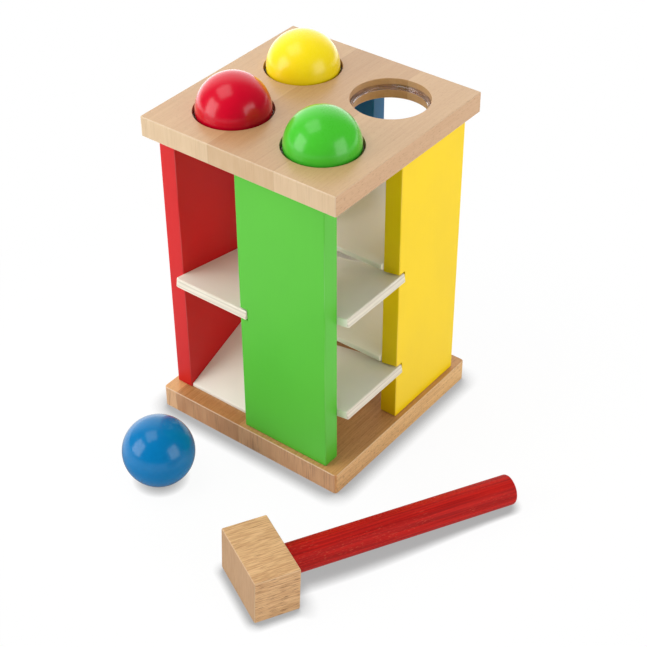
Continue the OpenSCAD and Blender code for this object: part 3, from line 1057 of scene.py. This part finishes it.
hammer_lie = (Matrix.Translation(HAMMER_AT) @ Matrix.Rotation(HAMMER_TURN, 4, "Z")
              @ Matrix.Rotation(-HAMMER_TIP, 4, "X"))
along_handle = (hammer_lie @ Matrix.Translation((0, 0, HEAD_HEIGHT / 2))
                @ Matrix.Rotation(-math.pi / 2, 4, "X"))
grain_lie = (hammer_lie @ Matrix.Translation((0, -HEAD_WIDTH / 2, HEAD_HEIGHT / 2))
             @ Matrix.Rotation(math.pi / 2, 4, "Z"))
print("the hammer is tipped by", round(math.degrees(HAMMER_TIP), 1), "degrees")

# %% [markdown]
# The head is plain sanded beech with coarse grain and no lacquer.
# The handle isn't painted: a red stain has sunk into it, which leaves the pores paler and the grain
# in sight, and the pale pores also paint in the glints they catch. The paint above has a skin that would
# hide that, so the stain is a finish by itself.

# %% The hammer's finishes
PORE_SIZE, PORE_CUT = (2.6, 0.5, 0.5), (0.58, 0.74)
STAIN_PATCH, PATCH_CUT = (34, 9, 9), (0.40, 0.62)
STREAK_SIZE, STREAK_CUT = (60, 1.2, 1.2), (0.3, 0.7)
STAIN_RELIEF = 0.05 * mm

head_half = [size / 2 / mm for size in (HEAD_WIDTH, HEAD_LENGTH, HEAD_HEIGHT)]
# Its ends are made darker: end grain's own colour, plus painted shade where the head got less light.
head_beech = beech(
    "beech_head", grain_lie, head_half, seen(221, 179, 131), seen(169, 120, 75),
    end_shade=(0.66, 0.66, 0.69), grain=0.6, fleck=0.9, streak=0.05, worn=0.45,
    fine=0.7, run=10, dash=8, rings=0.2, rough=0.6)


def stained(name, lie):
    """A red stain, which sinks into the wood and leaves the pores paler, with painted glints on them."""
    stain = Finish(name)
    spot = stain.place(lie)
    pores = stain.ramp(stain.noise(spot, PORE_SIZE, 1.0), *PORE_CUT)
    patch = stain.ramp(stain.noise(spot, STAIN_PATCH, 1.0), *PATCH_CUT)
    streak = stain.noise(spot, STREAK_SIZE, 3.0)
    colour = stain.mix(stain.ramp(streak, *STREAK_CUT), seen(150, 6, 3), seen(190, 20, 11))
    # Pale pores: the stain's own colour there, plus painted glints.
    pale_pores_and_glints = pores * patch
    colour = stain.mix(pale_pores_and_glints * 0.5, colour, seen(206, 84, 62))
    height = streak * 0.6 - pores * 0.5
    return stain.set(Base_Color=colour, Roughness=0.55 + pale_pores_and_glints * 0.15,
                     Normal=stain.bump(height, STAIN_RELIEF), Specular_IOR_Level=0.15)


red_stain = stained("stain_red", grain_lie)
print("hammer finishes:", head_beech.material.name, red_stain.material.name)

# %% [markdown]
# The head is a board with one cut. The socket's cutter has a ledge, as the ball holes' cutter has,
# which rounds the socket's rim. The handle is turned, with a rounded and slightly crowned end.

# %% Hammer
HEAD_EDGE = 1 * mm
SOCKET_DEPTH, SOCKET_RIM = 20 * mm, 0.5 * mm
TENON_EDGE, HANDLE_CROWN = 1 * mm, 0.6 * mm

head = board((-HEAD_LENGTH / 2, -HEAD_WIDTH, 0), (HEAD_LENGTH / 2, 0, HEAD_HEIGHT))
ease(head, head.edges[:], HEAD_EDGE)
socket_r = HANDLE_R + 2 * SOCKET_RIM
socket = [(0, -SOCKET_DEPTH, 0), (HANDLE_R + FIT, -SOCKET_DEPTH, 0), (HANDLE_R + FIT, LEDGE, SOCKET_RIM),
          (socket_r, LEDGE, 0), (socket_r, PAST, 0), (0, PAST, 0)]
head = carved(moved(head, hammer_lie), [moved(turned(socket), along_handle)])
piece("beech_hammer_head", head, "hammer", "beech_head", head_beech, "hammer_head")

handle = turned([(0, FIT - SOCKET_DEPTH, 0), (HANDLE_R, FIT - SOCKET_DEPTH, TENON_EDGE),
                 (HANDLE_R, HANDLE_REACH - HANDLE_CROWN, HANDLE_END_R), (0, HANDLE_REACH, 0)])
piece("red_handle", moved(handle, along_handle), "hammer", "stain_red", red_stain, "hammer_handle")

# %% [markdown]
# ## Small fixings
# Dowels, pins and screws are simple turned shapes that the frame already holds, and they hardly show.
# They stay as they are and only get their finishes.

# %% Fixings
NO_EDGES = (1000, 1000, 1000)
SCUFF_SIZE, STEEL_RELIEF = (0.8, 0.8, 3), 0.02 * mm

dowel_beech = beech("beech_dowel", upright, NO_EDGES, seen(224, 190, 146), seen(198, 156, 110),
                    end_shade=(1, 1, 1))
steel = Finish("zinc_steel")
scuff = steel.noise(steel.place(), SCUFF_SIZE, 3.0)
steel.set(Base_Color=steel.mix(scuff, seen(168, 170, 174), seen(206, 208, 212)), Metallic=1.0,
          Roughness=0.25 + scuff * 0.2, Normal=steel.bump(scuff, STEEL_RELIEF))

for node, finish in (("top_dowels", dowel_beech), ("ramp_pins", dowel_beech), ("base_screws", steel)):
    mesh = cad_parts[node].data
    mesh.materials.clear()
    mesh.materials.append(finish.material)
    print(node, "is", finish.material.name)

# %% [markdown]
# The dressed toy has to stay within the box of the solids.
